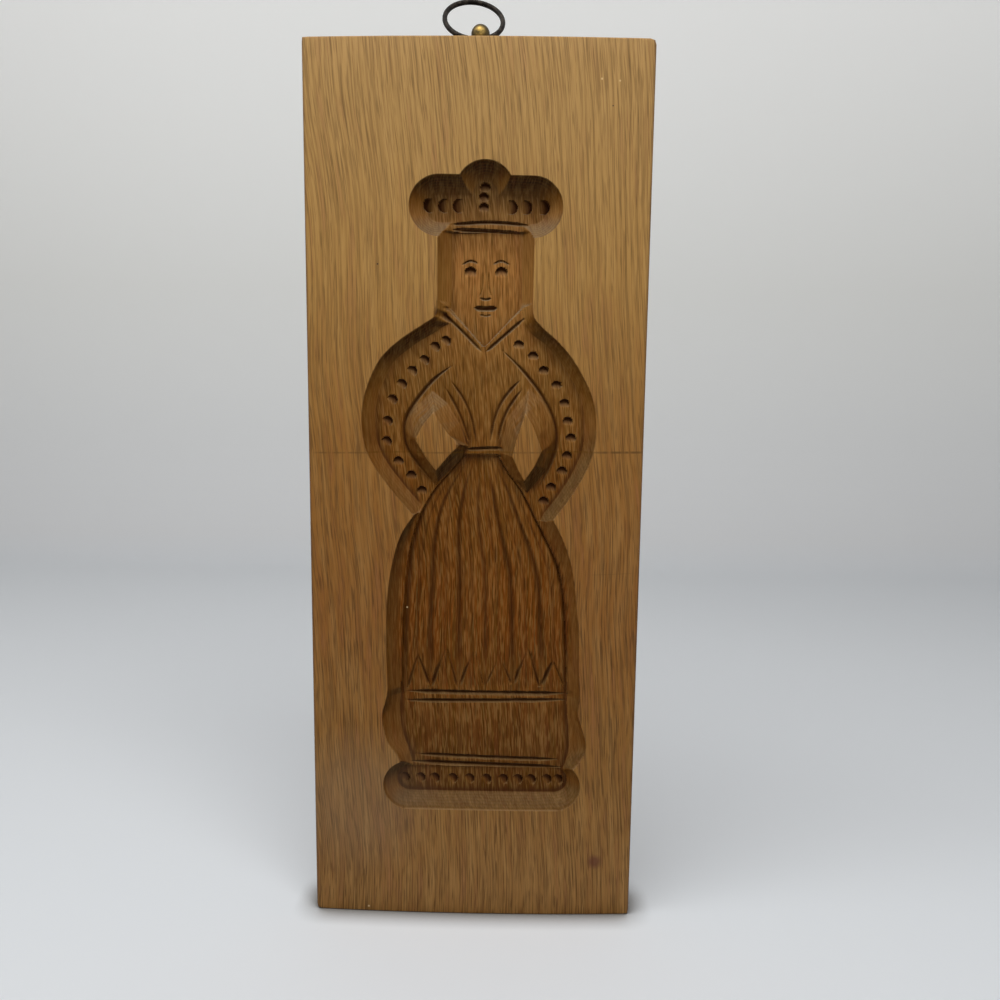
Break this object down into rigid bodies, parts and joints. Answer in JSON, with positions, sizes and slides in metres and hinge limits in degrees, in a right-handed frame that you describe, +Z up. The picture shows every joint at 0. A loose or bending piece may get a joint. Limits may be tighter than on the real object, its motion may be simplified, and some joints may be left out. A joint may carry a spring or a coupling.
{
  "type": "springerle mould",
  "caption": "Oak biscuit mould: a crowned lady in a pleated bell skirt carved hollow into a long board, with a brass ball-headed screw and a swinging wire ring to hang it by.",
  "frame": {"origin": "middle of the bottom end of the board", "axes": "+Z up the board, +X to the right as the carving is seen, -Y out of the carved face"},
  "size_m": [0.14, 0.0236, 0.3931],
  "materials": {
    "oak": "oiled, worn, rift-sawn grain",
    "brass": "turned, tarnished",
    "dark_wire": "blackened, satin"
  },
  "bodies": {
    "board": {"board": "oak", "ring_screw": "brass"},
    "ring": {"hanging_ring": "dark_wire"}
  },
  "joints": [
    {"name": "ring_swing", "type": "hinge", "parent": "board", "child": "ring", "pos_m": [0.0004, 0, 0.3728], "axis": [0.961, 0.2219, 0.165], "range_deg": [-53, 121]}
  ]
}
